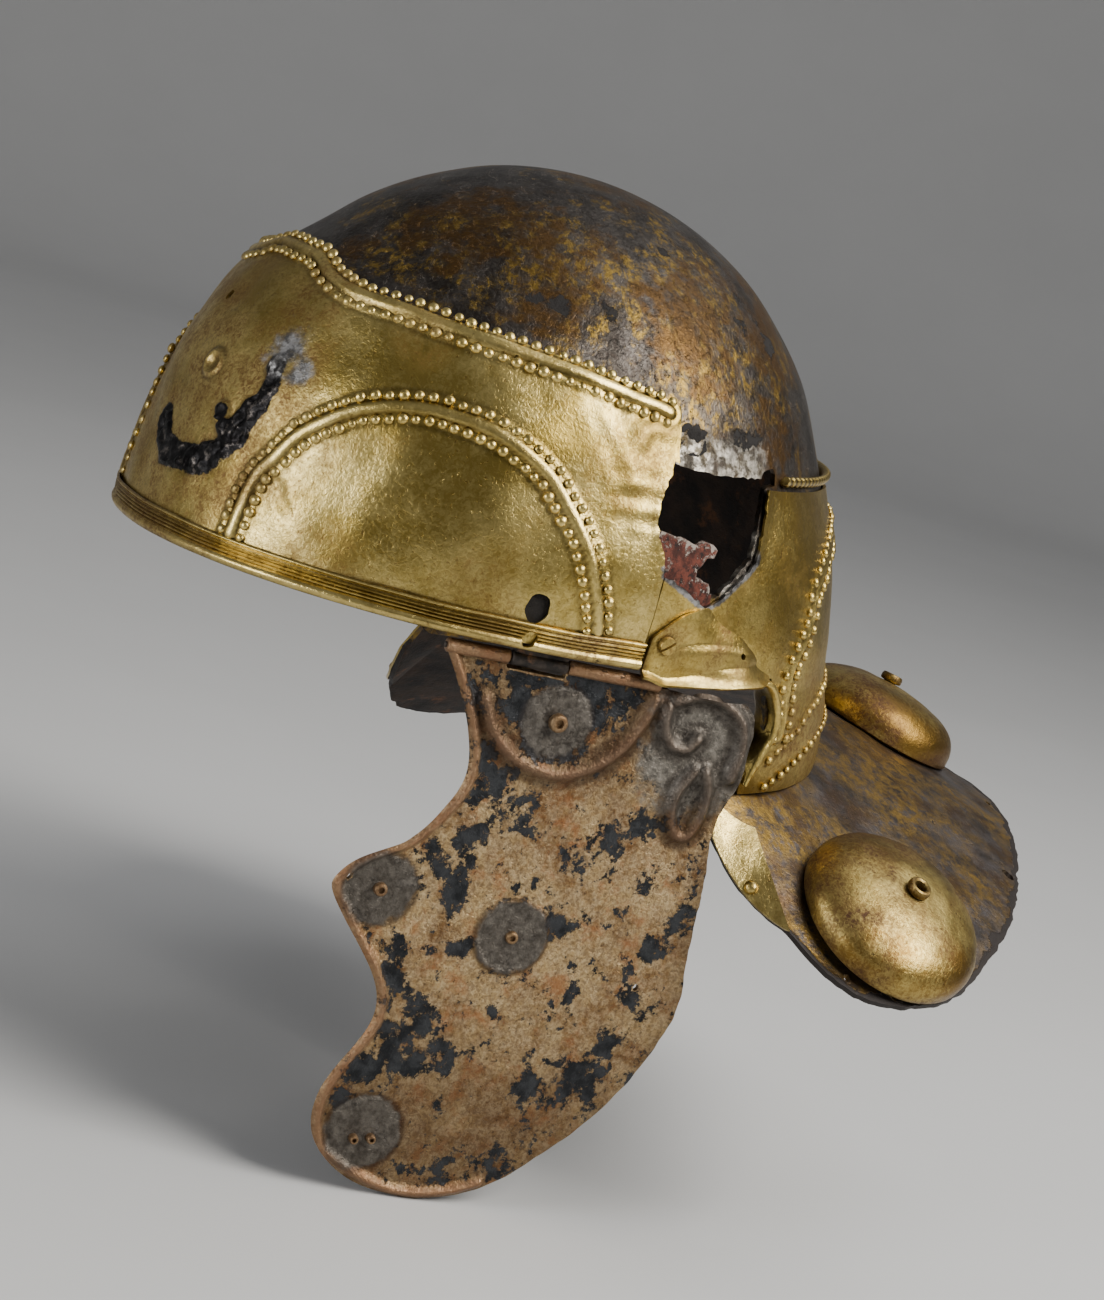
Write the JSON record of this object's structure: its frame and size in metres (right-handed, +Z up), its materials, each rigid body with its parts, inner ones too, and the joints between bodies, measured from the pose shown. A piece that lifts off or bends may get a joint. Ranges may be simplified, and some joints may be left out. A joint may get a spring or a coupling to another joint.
{
  "type": "roman helmet",
  "caption": "Ancient cavalry helmet: iron dome with an embossed brass brow band, wide neck guard with round bosses, ear guards and one hinged cheek piece.",
  "frame": {"origin": "inside of the crown, at the top of the head", "axes": "+Z up through the crown, the wearer faces -Y and the neck guard points to +Y, the wearer's left is +X"},
  "size_m": [0.309, 0.3413, 0.3112],
  "materials": {
    "iron": "tinned iron, worn to brown and black spots",
    "tinned_iron": "grey to purple tin with brown and golden patches",
    "brass": "polished old brass with brown tarnish",
    "copper_sheath": "coppery brown sheath with blue-black patches"
  },
  "bodies": {
    "helmet": {"skull": "iron", "brow_band": "brass", "rim_binding": "brass", "rear_ring": "brass", "neck_sheath": "brass", "neck_guard": "tinned_iron", "guard_edge_left": "brass", "guard_edge_right": "brass", "guard_boss_left": "brass", "boss_stud_left": "brass", "guard_boss_back": "brass", "boss_stud_back": "brass", "guard_boss_right": "brass", "boss_stud_right": "brass", "ear_guard_left": "brass", "ear_guard_right": "brass", "ear_screw_left": "brass", "ear_screw_right": "brass", "cheek_hinge_leaf": "iron", "cheek_pin": "iron"},
    "cheek": {"cheek_piece": "copper_sheath"}
  },
  "joints": [
    {"name": "cheek_hinge", "type": "hinge", "parent": "helmet", "child": "cheek", "pos_m": [0.0908, -0.0295, -0.135], "axis": [-0.2086, -0.978, 0], "range_deg": [-15, 55]}
  ]
}
